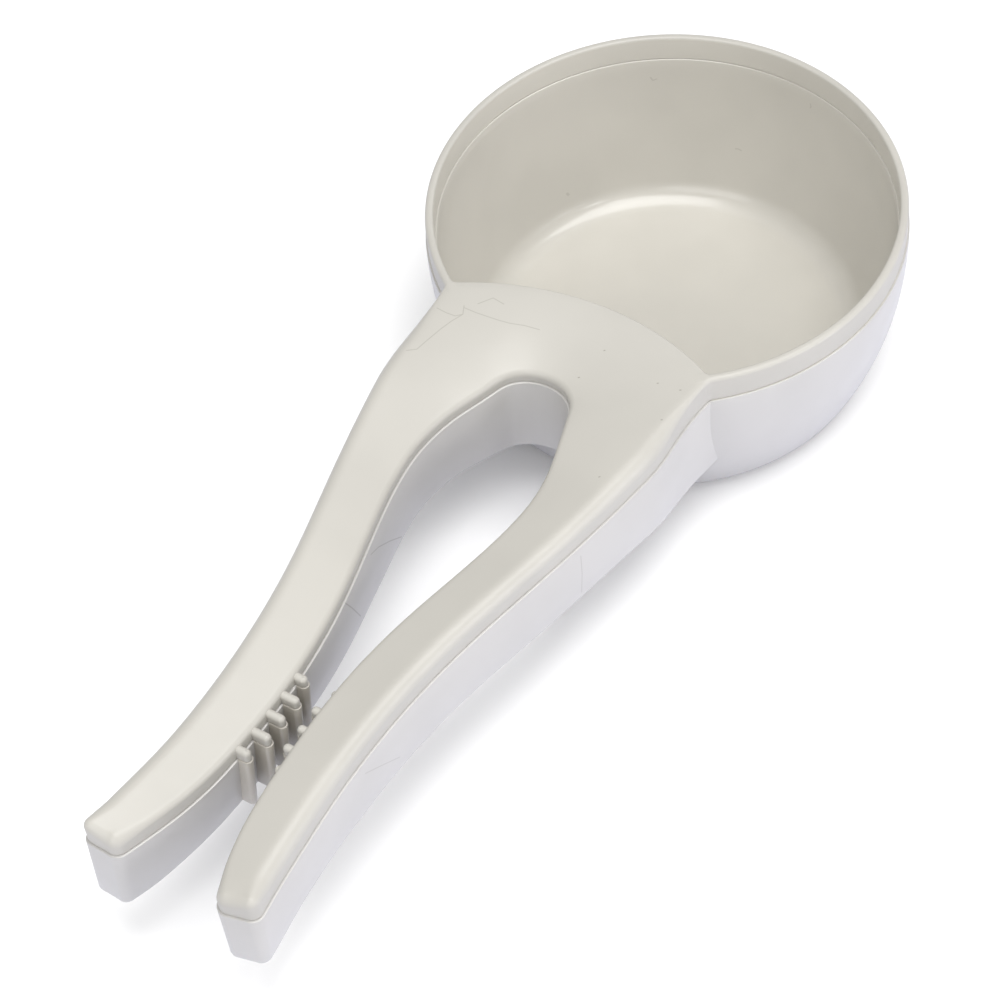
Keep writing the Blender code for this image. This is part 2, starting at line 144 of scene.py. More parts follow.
def stitch(grids):
    """Joins grids of points into one list of points and faces, shared where they meet."""
    points, faces, base = [], [], 0
    for grid in grids:
        rows, cols = grid.shape[:2]
        index = np.arange(rows * cols).reshape(rows, cols) + base
        corners = [index[:-1, :-1], index[:-1, 1:], index[1:, 1:], index[1:, :-1]]
        faces.append(np.stack(corners, -1).reshape(-1, 4))
        points.append(grid.reshape(rows * cols, -1))
        base += rows * cols
    points = np.concatenate(points)
    spots = np.round(points[:, :3], 7) + 0.0
    _, first, where = np.unique(spots, axis=0, return_index=True, return_inverse=True)
    faces = where.reshape(-1)[np.concatenate(faces)]
    rings = [[v for k, v in enumerate(face) if v != face[k - 1]] for face in faces.tolist()]
    return points[first], [ring for ring in rings if len(ring) > 2]


def finish_mesh(mesh):
    """Smooth faces, with crisp lines where the surface really turns."""
    mesh.shade_smooth()
    mesh.set_sharp_from_angle(angle=math.radians(38))


def placed(name, data):
    """A new object in the scene that holds a mesh, a lamp or the camera."""
    thing = bpy.data.objects.new(name, data)
    bpy.context.scene.collection.objects.link(thing)
    return thing


def plastic(name, colour, roughness, seed, gloss, shine=0.5):
    """Moulded plastic: faint cloudiness, a fine grain and an uneven polish under a thin gloss."""
    made = bpy.data.materials.new(name)
    made.use_nodes = True
    tree = made.node_tree
    shader = tree.nodes["Principled BSDF"]
    shader.inputs["Specular IOR Level"].default_value = shine
    shader.inputs["Coat Weight"].default_value = gloss
    shader.inputs["Coat Roughness"].default_value = COAT_ROUGHNESS
    place = tree.nodes.new("ShaderNodeTexCoord")
    shift = tree.nodes.new("ShaderNodeMapping")
    shift.inputs["Location"].default_value = (seed, seed * 0.37, -seed * 0.61)
    tree.links.new(place.outputs["Object"], shift.inputs["Vector"])

    def noise(scale, detail):
        """Link to a cloud of the given fineness, shifted for this plastic."""
        cloud = tree.nodes.new("ShaderNodeTexNoise")
        cloud.inputs["Scale"].default_value = scale
        cloud.inputs["Detail"].default_value = detail
        tree.links.new(shift.outputs["Vector"], cloud.inputs["Vector"])
        return cloud.outputs["Fac"]

    def spread(feed, low, high, to_low, to_high):
        """Link to a value stretched from one range to another."""
        change = tree.nodes.new("ShaderNodeMapRange")
        for socket, value in zip(change.inputs[1:5], (low, high, to_low, to_high)):
            socket.default_value = value
        tree.links.new(feed, change.inputs["Value"])
        return change.outputs["Result"]

    body = tree.nodes.new("ShaderNodeMix")
    body.data_type = "RGBA"
    tree.links.new(spread(noise(CLOUD_SCALE, 2.0), 0.35, 0.65, 0.0, 1.0), body.inputs[0])
    for socket, level in zip(body.inputs[6:8], (1 - CLOUD_DEPTH, 1 + CLOUD_DEPTH)):
        socket.default_value = (*(c * level for c in colour), 1.0)
    tree.links.new(body.outputs[2], shader.inputs["Base Color"])
    low, high = roughness - POLISH_DOWN, roughness + POLISH_UP
    polish = spread(noise(POLISH_SCALE, 3.0), 0.3, 0.7, low, high)
    tree.links.new(polish, shader.inputs["Roughness"])
    grain = tree.nodes.new("ShaderNodeBump")
    grain.inputs["Strength"].default_value = GRAIN_STRENGTH
    grain.inputs["Distance"].default_value = GRAIN_DEPTH
    tree.links.new(noise(GRAIN_SCALE, 3.0), grain.inputs["Height"])
    tree.links.new(grain.outputs["Normal"], shader.inputs["Normal"])
    return made


def solid(name, points, faces, material):
    """A closed piece from points and faces, all faces turned outward."""
    mesh = bpy.data.meshes.new(name)
    mesh.from_pydata(points[:, :3].tolist(), [], faces)
    work = bmesh.new()
    work.from_mesh(mesh)
    bmesh.ops.recalc_face_normals(work, faces=work.faces)
    work.to_mesh(mesh)
    work.free()
    finish_mesh(mesh)
    mesh.materials.append(material)
    return placed(name, mesh)


ledge = HIGH - SEAM - GROOVE
lip_turn = np.radians([90, 60, 30])
inside = side_profile(OUT_RADIUS - IN_RADIUS, FLOOR, FLOOR_ROUND, LEVELS, ledge - LEDGE)
lip_in = np.stack([
    inside[0, 0] + LEDGE * (1 - np.cos(lip_turn)), ledge - LEDGE * (1 - np.sin(lip_turn))
], 1)
foot_turn = np.linspace(0, math.pi / 2, LEVELS)
web_z = np.concatenate([
    np.linspace(ledge - LEDGE, FLOOR + ARC_FOOT, LEVELS, endpoint=False),
    FLOOR + ARC_FOOT * (1 - np.sin(foot_turn)),
])
web_bite = ARC + ARC_SET + ARC_LEAN * (1 - web_z / ledge) + np.concatenate([
    np.zeros(LEVELS), ARC_FOOT * (1 - np.cos(foot_turn))
])
loops = []
for radius, z in lip_in:
    loops.append((mouth(radius, ARC + ARC_SET - (radius - inside[0, 0])), z))
for (radius, z), low, bite in zip(inside, web_z, web_bite):
    loops.append((mouth(radius, bite), z + (low - z) * web_side))
floor_edge = loops[-1][0] - FLOOR_MIDDLE
for share in (0.97, 0.8, 0.5, 0.2, 0.0):
    loops.append((FLOOR_MIDDLE + floor_edge * share, FLOOR))
loops.reverse()
heading = loops[-1][0] / np.linalg.norm(loops[-1][0], axis=1)[:, None]
outside = side_profile(0.0, 0.0, FOOT_ROUND, LEVELS, ledge - LEDGE)
lip_out = np.stack([
    outside[0, 0] - LEDGE * (1 - np.cos(lip_turn)), ledge - LEDGE * (1 - np.sin(lip_turn))
], 1)
under = [(outside[-1, 0] * share, 0.0) for share in (0.97, 0.7, 0.35, 0.0)]
for radius, z in [*lip_out, *outside, *under]:
    loops.append((heading * radius, z))
half = np.stack([np.column_stack([line, np.zeros(len(line)) + z]) for line, z in loops])
# The tub's inside wears a lighter, warmer copy of the one plastic: painted warm bounce light.
bowl_painted_light_plastic = plastic("scoop_bowl_painted_light_plastic", BOWL_PAINTED_LIGHT_COLOUR, roughness=0.34, seed=3.1, gloss=0.6)
bowl_points, bowl_faces = stitch([half, mirror(half)])
bowl_points[:, 0], bowl_points[:, 1] = turned(bowl_points[:, 0], bowl_points[:, 1])
bowl = solid("bowl_skin", bowl_points, bowl_faces, bowl_painted_light_plastic)
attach(bowl, "scoop")
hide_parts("bowl")

# ---------------------------------------------------------------- Yoke and leg shells
# The lower half of the handle, in the tub's plastic: a deep shell with drafted sides that
# grows out of the round wall, splits at the arch and runs on as two springy legs.
DRAFT = 0.0005
PROUD = 0.0004
UNDER_ROUND = 0.0010
UNDER_TIP_ROUND = 0.0018
TIP_CORNER = 0.0018
TIP_AT = 3.614
TIP_SLANT = 0.0017
SLANT_OVER = 0.12
SOFTER_FROM, SOFTER_OVER = 3.46, 0.12
ROOT_TO, LEG_AT = 1.10, 1.420
TIP_FROM = 3.40
CUT_AT = 1.20
OFF_MIDDLE = 0.0006
OFF_FROM, OFF_IN_OVER = 0.95, 0.3
OFF_TO, OFF_OUT_OVER = 3.60, 0.5
SQUARE_OFF, SQUARE_OVER = TIP_SLANT * 0.65, 0.15
SQUARE_FROM, SQUARE_ACROSS = 0.255, 0.12
LEFT_DEEPER, DEEPER_FROM, DEEPER_OVER = 0.14, 2.7, 0.8
LEAN = {
    "left": ((1.9, 0.0), (2.7, .085), (3.7, .120)),
    "right": ((2.9, 0.0), (3.3, .030), (3.7, .050)),
}
ROOT_STEPS, NECK_STEPS, LEG_STEPS = 26, 44, 84
NECK_SPREAD = 1.7
# A cooler copy of the cover's grey: painted cool light on the outward sides.
YOKE_COOL_LIT_COLOUR = (0.500, 0.488, 0.468)
MARK_COLOUR = (0.16, 0.14, 0.11, 1)
OUTER = (
    (0.60, .616), (0.70, .608), (0.78, .600), (0.88, .588), (1.03, .590), (1.194, .594),
    (1.538, .542), (1.881, .468), (2.225, .390), (2.569, .338), (2.912, .319), (3.256, .334),
    (3.600, .376), (3.700, .392),
)
INNER = (
    (1.040, -.104), (1.018, -.055), (1.011, 0.0), (1.018, .055), (1.040, .104), (1.082, .146),
    (1.140, .170), (1.240, .202), (1.340, .234), (1.557, .266), (1.914, .216), (2.271, .134),
    (2.629, .086), (2.986, .086), (3.343, .130), (3.625, .222), (3.700, .252),
)
UNDER = (
    (0.50, .590), (0.75, .566), (1.00, .542), (1.20, .501), (2.00, .456), (2.80, .440),
    (3.30, .440), (3.58, .476), (3.70, .486),
)


def flow(pairs, fine=60):
    """A smooth line through (behind, aside) shares, cut finely, as points in plan."""
    knots = np.array([(aside, -back) for back, aside in pairs]) * RIM
    step = np.sqrt(np.linalg.norm(np.diff(knots, axis=0), axis=1))
    count = len(knots)
    place = np.concatenate([[0], np.cumsum(step)])
    left, right = np.eye(count), np.zeros((count, 2))
    for i in range(1, count - 1):
        left[i, i - 1:i + 2] = step[i - 1], 2 * (step[i - 1] + step[i]), step[i]
        rise = (knots[i + 1] - knots[i]) / step[i] - (knots[i] - knots[i - 1]) / step[i - 1]
        right[i] = 6 * rise
    bend = np.linalg.solve(left, right)
    points = []
    for i in range(count - 1):
        for t in np.linspace(0, step[i], fine, endpoint=i == count - 2):
            s = step[i] - t
            points.append(
                (bend[i] * s**3 + bend[i + 1] * t**3) / (6 * step[i])
                + (knots[i] / step[i] - bend[i] * step[i] / 6) * s
                + (knots[i + 1] / step[i] - bend[i + 1] * step[i] / 6) * t
            )
    return np.array(points)


def ease(pairs, at):
    """Smooth value through (place, value) pairs, for whole arrays at once."""
    place, value = np.array(pairs).T
    slope = np.gradient(value, place)
    k = np.clip(np.searchsorted(place, at) - 1, 0, len(place) - 2)
    span = place[k + 1] - place[k]
    t = (at - place[k]) / span
    rise = value[k] * (1 + 2 * t) * (1 - t) ** 2 + value[k + 1] * t * t * (3 - 2 * t)
    return rise + span * (slope[k] * t * (1 - t) ** 2 - slope[k + 1] * t * t * (1 - t))


arch_line = flow(INNER)
arch_line = arch_line[arch_line[:, 0] > -1e-9]
arch_line[0, 0] = 0
arch_run = np.concatenate([[0], np.cumsum(np.linalg.norm(np.diff(arch_line, axis=0), axis=1))])
side_line = flow(OUTER)


def arch_at(run):
    """Point of the arch's edge at a distance from the middle of its crown."""
    return np.stack([np.interp(run, arch_run, arch_line[:, k]) for k in (0, 1)], -1)


def arch_back(back):
    """Distance along the arch's edge to a share behind the cup."""
    return np.interp(np.asarray(back) * RIM, -arch_line[:, 1], arch_run)


def side_at(back):
    """Point of the handle's outer edge at a share behind the cup."""
    y = -np.asarray(back) * RIM
    return np.stack([np.interp(-y, -side_line[:, 1], side_line[:, 0]), y], -1)


def drawn_back(reach, radius):
    """How far a round corner has drawn back at a distance from its end."""
    inside = np.clip(radius - reach, 0, radius)
    return radius - np.sqrt(radius**2 - inside**2)


def leg_pairs():
    """Edge points of the right leg, arch side and outer side, from its root to its tip."""
    backs = np.linspace(LEG_AT, TIP_FROM, LEG_STEPS)
    turn = np.linspace(math.pi / 2, 0, 13)
    free = np.linspace((TIP_AT - TIP_FROM) * RIM, TIP_CORNER, 9)[1:-1]
    reach = np.concatenate([free, TIP_CORNER * (1 - np.cos(turn))])
    tips = TIP_AT - reach / RIM
    slant = TIP_SLANT / RIM * smooth((tips - TIP_FROM) / SLANT_OVER)
    near = np.concatenate([arch_at(arch_back(backs)), arch_at(arch_back(tips))])
    far = np.concatenate([side_at(backs), side_at(tips - slant)])
    across = (far - near) / np.linalg.norm(far - near, axis=1)[:, None]
    pinch = np.concatenate([np.zeros(LEG_STEPS), drawn_back(reach, TIP_CORNER)])[:, None]
    return near + across * pinch, far - across * pinch


def graded(width, first, last, cuts=9, between=14):
    """Shares across a section, closer where its two edges turn round."""
    turn = 1 - np.cos(np.linspace(0, math.pi / 2, cuts))
    first, last = min(first, width * 0.45), min(last, width * 0.45)
    inner = np.linspace(first, width - last, between)[1:-1]
    return np.concatenate([turn * first, inner, (width - last * turn)[::-1]]) / width


def sections(near, far, first, last):
    """Grid of plan points, one row for each pair of edge points."""
    rows = []
    for a, b, one, two in zip(near, far, first, last):
        share = graded(np.linalg.norm(b - a), one, two)
        rows.append(np.column_stack([a + (b - a) * share[:, None], 0 * share]))
    return np.array(rows)


def outward(loop):
    """Unit directions square to a closed line of points, towards its left-hand side."""
    run = np.roll(loop, -1, axis=0) - np.roll(loop, 1, axis=0)
    run = run / np.linalg.norm(run, axis=1)[:, None]
    return np.stack([-run[:, 1], run[:, 0]], 1)


def nearest_spots(points, spots):
    """For each plan point, the number of the nearest of the spots."""
    tree = KDTree(len(spots))
    for k, (x, y) in enumerate(spots):
        tree.insert((x, y, 0), k)
    tree.balance()
    return np.array([tree.find((x, y, 0))[1] for x, y in points[:, :2]])


def nearest_edge(points, loops, rounds):
    """For each plan point: its distance to the nearest edge line and that edge's rounding."""
    spots = np.concatenate(loops)
    values = np.concatenate(rounds)
    starts = np.cumsum([0] + [len(loop) for loop in loops[:-1]])
    following = np.concatenate([
        np.roll(np.arange(len(loop)), -1) + start for loop, start in zip(loops, starts)
    ])
    leading = np.empty_like(following)
    leading[following] = np.arange(len(following))
    hit = nearest_spots(points, spots)
    best = np.full(len(points), np.inf)
    rounding = np.zeros(len(points))
    for start, end in ((leading[hit], hit), (hit, following[hit])):
        a, b = spots[start], spots[end]
        run = b - a
        t = np.clip(((points[:, :2] - a) * run).sum(1) / (run**2).sum(1), 0, 1)
        gap = np.linalg.norm(points[:, :2] - a - run * t[:, None], axis=1)
        closer = gap < best
        rounding = np.where(closer, values[start] * (1 - t) + values[end] * t, rounding)
        best = np.minimum(best, gap)
    return best, rounding


def node(tree, kind, feeds=(), **settings):
    """Adds a node, sets it up and feeds its sockets, given as (socket, value or link)."""
    made = tree.nodes.new(kind)
    for key, value in settings.items():
        setattr(made, key, value)
    for key, value in feeds:
        if isinstance(value, bpy.types.NodeSocket):
            tree.links.new(value, made.inputs[key])
        else:
            made.inputs[key].default_value = value
    return made


def reckon(tree, operation, *values):
    """One step of arithmetic on links or numbers."""
    return node(tree, "ShaderNodeMath", enumerate(values), operation=operation).outputs[0]


def of_places(tree, operation, *values):
    """One step of arithmetic on places, as its outputs: a place and a number."""
    return node(tree, "ShaderNodeVectorMath", enumerate(values), operation=operation).outputs


def fine_marks(material, lines, flatten, low=-1.0, high=1.0, wide=0.00016, depth=0.45):
    """Hair cracks or nicks along lines of points in mm, seen square to the flattened axis."""
    tree = material.node_tree
    paint = tree.nodes["Principled BSDF"].inputs["Base Color"]
    place = node(tree, "ShaderNodeTexCoord").outputs["Object"]
    flat = of_places(tree, "MULTIPLY", place, flatten)[0]
    nearest = 1.0
    for line in lines:
        spots = [Vector([c * 0.001 * f for c, f in zip(point, flatten)]) for point in line]
        for start, end in zip(spots, spots[1:]):
            run = end - start
            gap = of_places(tree, "SUBTRACT", flat, start)[0]
            share = of_places(tree, "DOT_PRODUCT", gap, run / run.length_squared)["Value"]
            share = node(tree, "ShaderNodeClamp", [(0, share)]).outputs[0]
            spot = of_places(tree, "SCALE", run)
            tree.links.new(share, spot[0].node.inputs["Scale"])
            away = of_places(tree, "DISTANCE", gap, spot[0])["Value"]
            nearest = reckon(tree, "MINIMUM", away, nearest)
    shade = node(tree, "ShaderNodeMapRange", [
        (0, nearest), (1, wide / 2), (2, wide), (3, depth), (4, 0.0)
    ]).outputs[0]
    across = node(tree, "ShaderNodeSeparateXYZ", [(0, place)]).outputs[0]
    shade = reckon(tree, "MULTIPLY", shade, reckon(tree, "GREATER_THAN", across, low))
    shade = reckon(tree, "MULTIPLY", shade, reckon(tree, "LESS_THAN", across, high))
    body = paint.links[0].from_socket
    marked = node(tree, "ShaderNodeMix", [
        (0, shade), (6, body), (7, MARK_COLOUR)
    ], data_type="RGBA")
    tree.links.new(marked.outputs[2], paint)


def tree_with(name, numbers, counts=()):
    """An empty node tree that takes a mesh, named sizes and a plastic, and the links to them."""
    tree = bpy.data.node_groups.new(name, "GeometryNodeTree")
    inputs = [("Geometry", "Geometry"), *((label, "Float") for label in numbers)]
    inputs += [*((label, "Int") for label in counts), ("Plastic", "Material")]
    for label, kind in inputs:
        tree.interface.new_socket(label, in_out="INPUT", socket_type=f"NodeSocket{kind}")
    tree.interface.new_socket("Geometry", in_out="OUTPUT", socket_type="NodeSocketGeometry")
    return tree, tree.nodes.new("NodeGroupInput").outputs


def end_with(tree, body, plastic_given):
    """Ends a node tree: real geometry in its plastic goes to the output."""
    body = node(tree, "GeometryNodeRealizeInstances", [(0, body)]).outputs[0]
    body = node(tree, "GeometryNodeSetMaterial", [("Geometry", body), ("Material", plastic_given)])
    tree.links.new(body.outputs[0], tree.nodes.new("NodeGroupOutput").inputs[0])


def shell_tree(steps):
    """Node tree that gives a flat outline its height by rule and draws its sides down."""
    tree, given = tree_with("moulded_shell", ["Rim height", "Side"] + [
        f"{word} {k}" for k in range(steps) for word in ("Out", "Height")
    ])

    def held(name, kind):
        """Link to a value that the flat outline holds at each point."""
        feeds = [("Name", name)]
        return node(tree, "GeometryNodeInputNamedAttribute", feeds, data_type=kind).outputs[0]

    rounding, distance, fall = (held(n, "FLOAT") for n in ("rounding", "distance", "fall"))
    flat, square = held("flat", "FLOAT_VECTOR"), held("square", "FLOAT_VECTOR")
    inside = reckon(tree, "MAXIMUM", reckon(tree, "SUBTRACT", rounding, distance), 0.0)
    chord = reckon(tree, "POWER", rounding, 2.0)
    chord = reckon(tree, "SUBTRACT", chord, reckon(tree, "POWER", inside, 2.0))
    chord = reckon(tree, "SQRT", reckon(tree, "MAXIMUM", chord, 0.0))
    cut = reckon(tree, "SUBTRACT", rounding, chord)
    level = reckon(tree, "SUBTRACT", given["Rim height"], fall)
    level = reckon(tree, "SUBTRACT", level, reckon(tree, "MULTIPLY", given["Side"], cut))
    spot = node(tree, "ShaderNodeSeparateXYZ", [(0, flat)]).outputs
    place = node(tree, "ShaderNodeCombineXYZ", [(0, spot[0]), (1, spot[1]), (2, level)]).outputs[0]
    body = node(tree, "GeometryNodeSetPosition", [
        ("Geometry", given["Geometry"]), ("Position", place)
    ]).outputs[0]
    neighbours = tree.nodes.new("GeometryNodeInputMeshEdgeNeighbors").outputs[0]
    pick = reckon(tree, "LESS_THAN", neighbours, 1.5)
    for k in range(steps):
        pull = node(tree, "GeometryNodeExtrudeMesh", [
            ("Mesh", body), ("Selection", pick), ("Offset Scale", 0.0)
        ], mode="EDGES").outputs
        out = of_places(tree, "SCALE", square)[0]
        tree.links.new(given[f"Out {k}"], out.node.inputs["Scale"])
        moved = of_places(tree, "ADD", flat, out)[0]
        spot = node(tree, "ShaderNodeSeparateXYZ", [(0, moved)]).outputs
        place = node(tree, "ShaderNodeCombineXYZ", [
            (0, spot[0]), (1, spot[1]), (2, given[f"Height {k}"])
        ]).outputs[0]
        pick = pull["Top"]
        body = node(tree, "GeometryNodeSetPosition", [
            ("Geometry", pull["Mesh"]), ("Selection", pick), ("Position", place)
        ]).outputs[0]
    end_with(tree, body, given["Plastic"])
    return tree


def grown(thing, tree, values):
    """The plain mesh that a node tree makes of an object, whose modifier then goes."""
    step = thing.modifiers.new(tree.name, "NODES")
    step.node_group = tree
    for socket in tree.interface.items_tree:
        if socket.in_out == "INPUT" and socket.name in values:
            step[socket.identifier] = values[socket.name]
    bpy.context.view_layer.update()
    ready = thing.evaluated_get(bpy.context.evaluated_depsgraph_get())
    made = bpy.data.meshes.new_from_object(ready)
    bpy.data.objects.remove(thing, do_unlink=True)
    return made


def moulded(name, grids, fall, loops, rounds, side, steps, material):
    """A moulded shell: plan grids raised by the tree and walls drawn to the seam; the end stays
    open.
    """
    points, faces = stitch(grids)
    distance, rounding = nearest_edge(points, loops, rounds)
    mesh = bpy.data.meshes.new(name)
    mesh.from_pydata(points[:, :3].tolist(), [], faces)
    directions = np.zeros((len(points), 3))
    squares = np.concatenate([outward(loop) for loop in loops])
    edge = np.flatnonzero(distance < 1e-8)
    directions[edge, :2] = squares[nearest_spots(points[edge], np.concatenate(loops))]
    held = {
        "rounding": rounding, "distance": distance, "fall": fall(points),
        "flat": points[:, :3] * (1, 1, 0), "square": directions,
    }
    for label, held_values in held.items():
        kind, slot = ("FLOAT", "value") if held_values.ndim == 1 else ("FLOAT_VECTOR", "vector")
        layer = mesh.attributes.new(label, kind, "POINT")
        layer.data.foreach_set(slot, np.ravel(held_values).astype(np.float32))
    values = {"Rim height": HIGH, "Side": side, "Plastic": material}
    for k, (out, height) in enumerate(steps):
        values[f"Out {k}"], values[f"Height {k}"] = out, height
    made = grown(placed(name, mesh), shell_tree(len(steps)), values)
    for label in held:
        made.attributes.remove(made.attributes[label])
    return made


def settle(vert):
    """The handle sits a hair to the right, the left tip is squarer and the legs lean a little."""
    vert.co.x, vert.co.y = turned(vert.co.x, vert.co.y)
    back = -vert.co.y / RIM
    shift = smooth((back - OFF_FROM) / OFF_IN_OVER) * smooth((OFF_TO - back) / OFF_OUT_OVER)
    vert.co.x += OFF_MIDDLE * shift
    side = "left" if vert.co.x < 0 else "right"
    if side == "left":
        aside = min(max((-vert.co.x / RIM - SQUARE_FROM) / SQUARE_ACROSS, 0), 1)
        vert.co.y -= SQUARE_OFF * smooth((back - TIP_FROM) / SQUARE_OVER) * aside
        deeper = LEFT_DEEPER * min(max((back - DEEPER_FROM) / DEEPER_OVER, 0), 1)
        vert.co.z -= max(HIGH - SEAM - vert.co.z, 0) * deeper
    places, leans = zip(*LEAN[side])
    vert.co.x -= np.interp(back, places, leans) * max(HIGH - SEAM - vert.co.z, 0)


def close_end(mesh, fit=None):
    """Closes the open end of a shell with a flat face and turns all faces outward."""
    work = bmesh.new()
    work.from_mesh(mesh)
    for vert in work.verts:
        if fit is not None:
            fit(vert)
        settle(vert)
    rim = [edge for edge in work.edges if edge.is_boundary]
    bmesh.ops.triangle_fill(work, use_beauty=True, use_dissolve=False, edges=rim)
    bmesh.ops.recalc_face_normals(work, faces=work.faces)
    cut, cut_at = work.verts[:] + work.edges[:] + work.faces[:], (0, -CUT_AT * RIM, 0)
    bmesh.ops.bisect_plane(work, geom=cut, dist=1e-7, plane_co=cut_at, plane_no=(0, 1, 0))
    work.to_mesh(mesh)
    work.free()
    finish_mesh(mesh)


def piece(name, mesh, keep, material):
    """One separate piece of a shell, which keeps the smooth shading across the division."""
    spots = np.empty(len(mesh.vertices) * 3)
    mesh.vertices.foreach_get("co", spots)
    spots = spots.reshape(-1, 3)
    normals = np.empty(len(mesh.loops) * 3, np.float32)
    mesh.corner_normals.foreach_get("vector", normals)
    normals = normals.reshape(-1, 3)
    faces, turns = [], []
    for face in mesh.polygons:
        if keep(face.center):
            faces.append(face.vertices[:])
            turns.extend(face.loop_indices)
    used, where = np.unique(np.concatenate(faces), return_inverse=True)
    rings = np.split(where.reshape(-1), np.cumsum([len(face) for face in faces])[:-1])
    made = bpy.data.meshes.new(name)
    made.from_pydata(spots[used].tolist(), [], [ring.tolist() for ring in rings])
    made.shade_smooth()
    made.normals_split_custom_set(normals[turns].tolist())
    made.materials.append(material)
    return placed(name, made)


def on_root(centre):
    """Whether a face belongs to the part of the handle that stays with the cup."""
    return centre.y > -CUT_AT * RIM


def on_left(centre):
    """Whether a face belongs to the left leg."""
    return not on_root(centre) and centre.x < 0


def on_right(centre):
    """Whether a face belongs to the right leg."""
    return not on_root(centre) and centre.x > 0


def bend_leg(thing):
    """Bakes the leg piece's placement into its mesh."""
    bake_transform(thing)


LEDGE_STEPS = (
    (DRAFT, ledge - LEDGE), (DRAFT - LEDGE * 0.3, ledge - LEDGE * 0.3),
    (DRAFT - LEDGE, ledge), (DRAFT - LEDGE * 5, ledge),
)
legs_near, legs_far = leg_pairs()
root_run, leg_run = float(arch_back(ROOT_TO)), float(arch_back(LEG_AT))
root_near = arch_at(np.linspace(0, root_run, ROOT_STEPS, endpoint=False))
root_back, root_side = OUTER[0]
root_x = np.linspace(0, root_side * RIM, ROOT_STEPS, endpoint=False)
root_far = np.stack([root_x, np.full(ROOT_STEPS, -root_back * RIM)], 1)
neck = np.linspace(0, 1, NECK_STEPS, endpoint=False)
neck_near = arch_at(root_run + (leg_run - root_run) * neck**NECK_SPREAD)
neck_far = side_at(root_back + (LEG_AT - root_back) * neck)


def ring_of(near, far, across):
    """Closed outline of the whole handle, from both outer sides round the tips to the arch."""
    right = np.concatenate([far, across[::-1][1:-1], near[::-1]])
    return np.concatenate([right[:-1], mirror(right)[::-1][:-1]])


def tip_share(points):
    """How close points are to the tips, from 0 to 1."""
    return np.clip((-points[:, 1] / RIM - SOFTER_FROM) / SOFTER_OVER, 0, 1)


near = np.concatenate([root_near, neck_near, legs_near])
far = np.concatenate([root_far, neck_far, legs_far])
count = len(near)
even = np.full(count, UNDER_ROUND)
across = sections(near, far, even, even)[-1, :, :2]
edge = ring_of(near, far, across)
edge = edge - outward(edge) * (DRAFT - PROUD)
far = edge[:count]
near = edge[count + len(across) - 2:count * 2 + len(across) - 2][::-1]
far[0, 0] = near[0, 0] = 0
under_round = UNDER_ROUND + (UNDER_TIP_ROUND - UNDER_ROUND) * tip_share(near)
base_rows = sections(near, far, under_round, under_round)
edge = ring_of(near, far, base_rows[-1, :, :2])
rounds = UNDER_ROUND + (UNDER_TIP_ROUND - UNDER_ROUND) * tip_share(edge)


def under_fall(points):
    """How far the handle's underside lies below the rim."""
    return ease(UNDER, -points[:, 1] / RIM) * RIM


def into_wall(vert):
    """Ends the yoke in the thickness of the bowl's round wall."""
    reach = float(wall_radius(vert.co.z, (OUT_RADIUS - IN_RADIUS) / 2))
    if vert.co.y < 0 and math.hypot(vert.co.x, vert.co.y) < reach:
        vert.co.y = -math.sqrt(reach**2 - vert.co.x**2)


# The lower shell and the tub's outside wear a cooler copy of the one plastic: painted cool side
# light.
yoke_cool_lit_plastic = plastic("yoke_shell_cool_lit_plastic", YOKE_COOL_LIT_COLOUR, roughness=0.34, seed=5.7, gloss=0.25)
fine_marks(yoke_cool_lit_plastic, [
    [(-8.2, -97.1, 33.3), (-9.2, -93.5, 30.8), (-10.4, -88.6, 26.1), (-11.4, -83.8, 21.1)],
    [(-5.3, -109.7, 35.4), (-6.1, -107.3, 30.4), (-7.2, -104.2, 23.2)],
], (0, 1, 1), low=-0.0155, high=0.0)
fine_marks(yoke_cool_lit_plastic, [
    [(25.9, -78.8, 32.9), (25.8, -78.6, 27.0), (25.6, -78.9, 21.4)],
    [(16.2, -136.9, 32.3), (16.3, -132.1, 28.4), (16.5, -127.5, 24.7)],
], (0, 1, 1), low=0.0145, depth=0.25)
lower = moulded(
    "lower_shell", [base_rows, mirror(base_rows)], under_fall, [edge], [rounds], -1.0,
    LEDGE_STEPS, yoke_cool_lit_plastic,
)
close_end(lower, into_wall)
# The tub's outer and lower faces take the yoke's cooler copy and its inner faces keep the warmer
# one: painted cool light outside, painted warm bounce light inside.
bowl.data.materials.append(yoke_cool_lit_plastic)
for face in bowl.data.polygons:
    outside_wall = face.normal.x * face.center.x + face.normal.y * face.center.y > 0
    if outside_wall or face.normal.z < -0.3:
        face.material_index = 1
yoke = piece("yoke_skin", lower, on_root, yoke_cool_lit_plastic)
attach(yoke, "scoop")
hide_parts("yoke_shell")
for side, keep in (("left", on_left), ("right", on_right)):
    skin = piece(f"{side}_leg_shell_skin", lower, keep, yoke_cool_lit_plastic)
    bend_leg(skin)
    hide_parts(f"{side}_leg_shell")

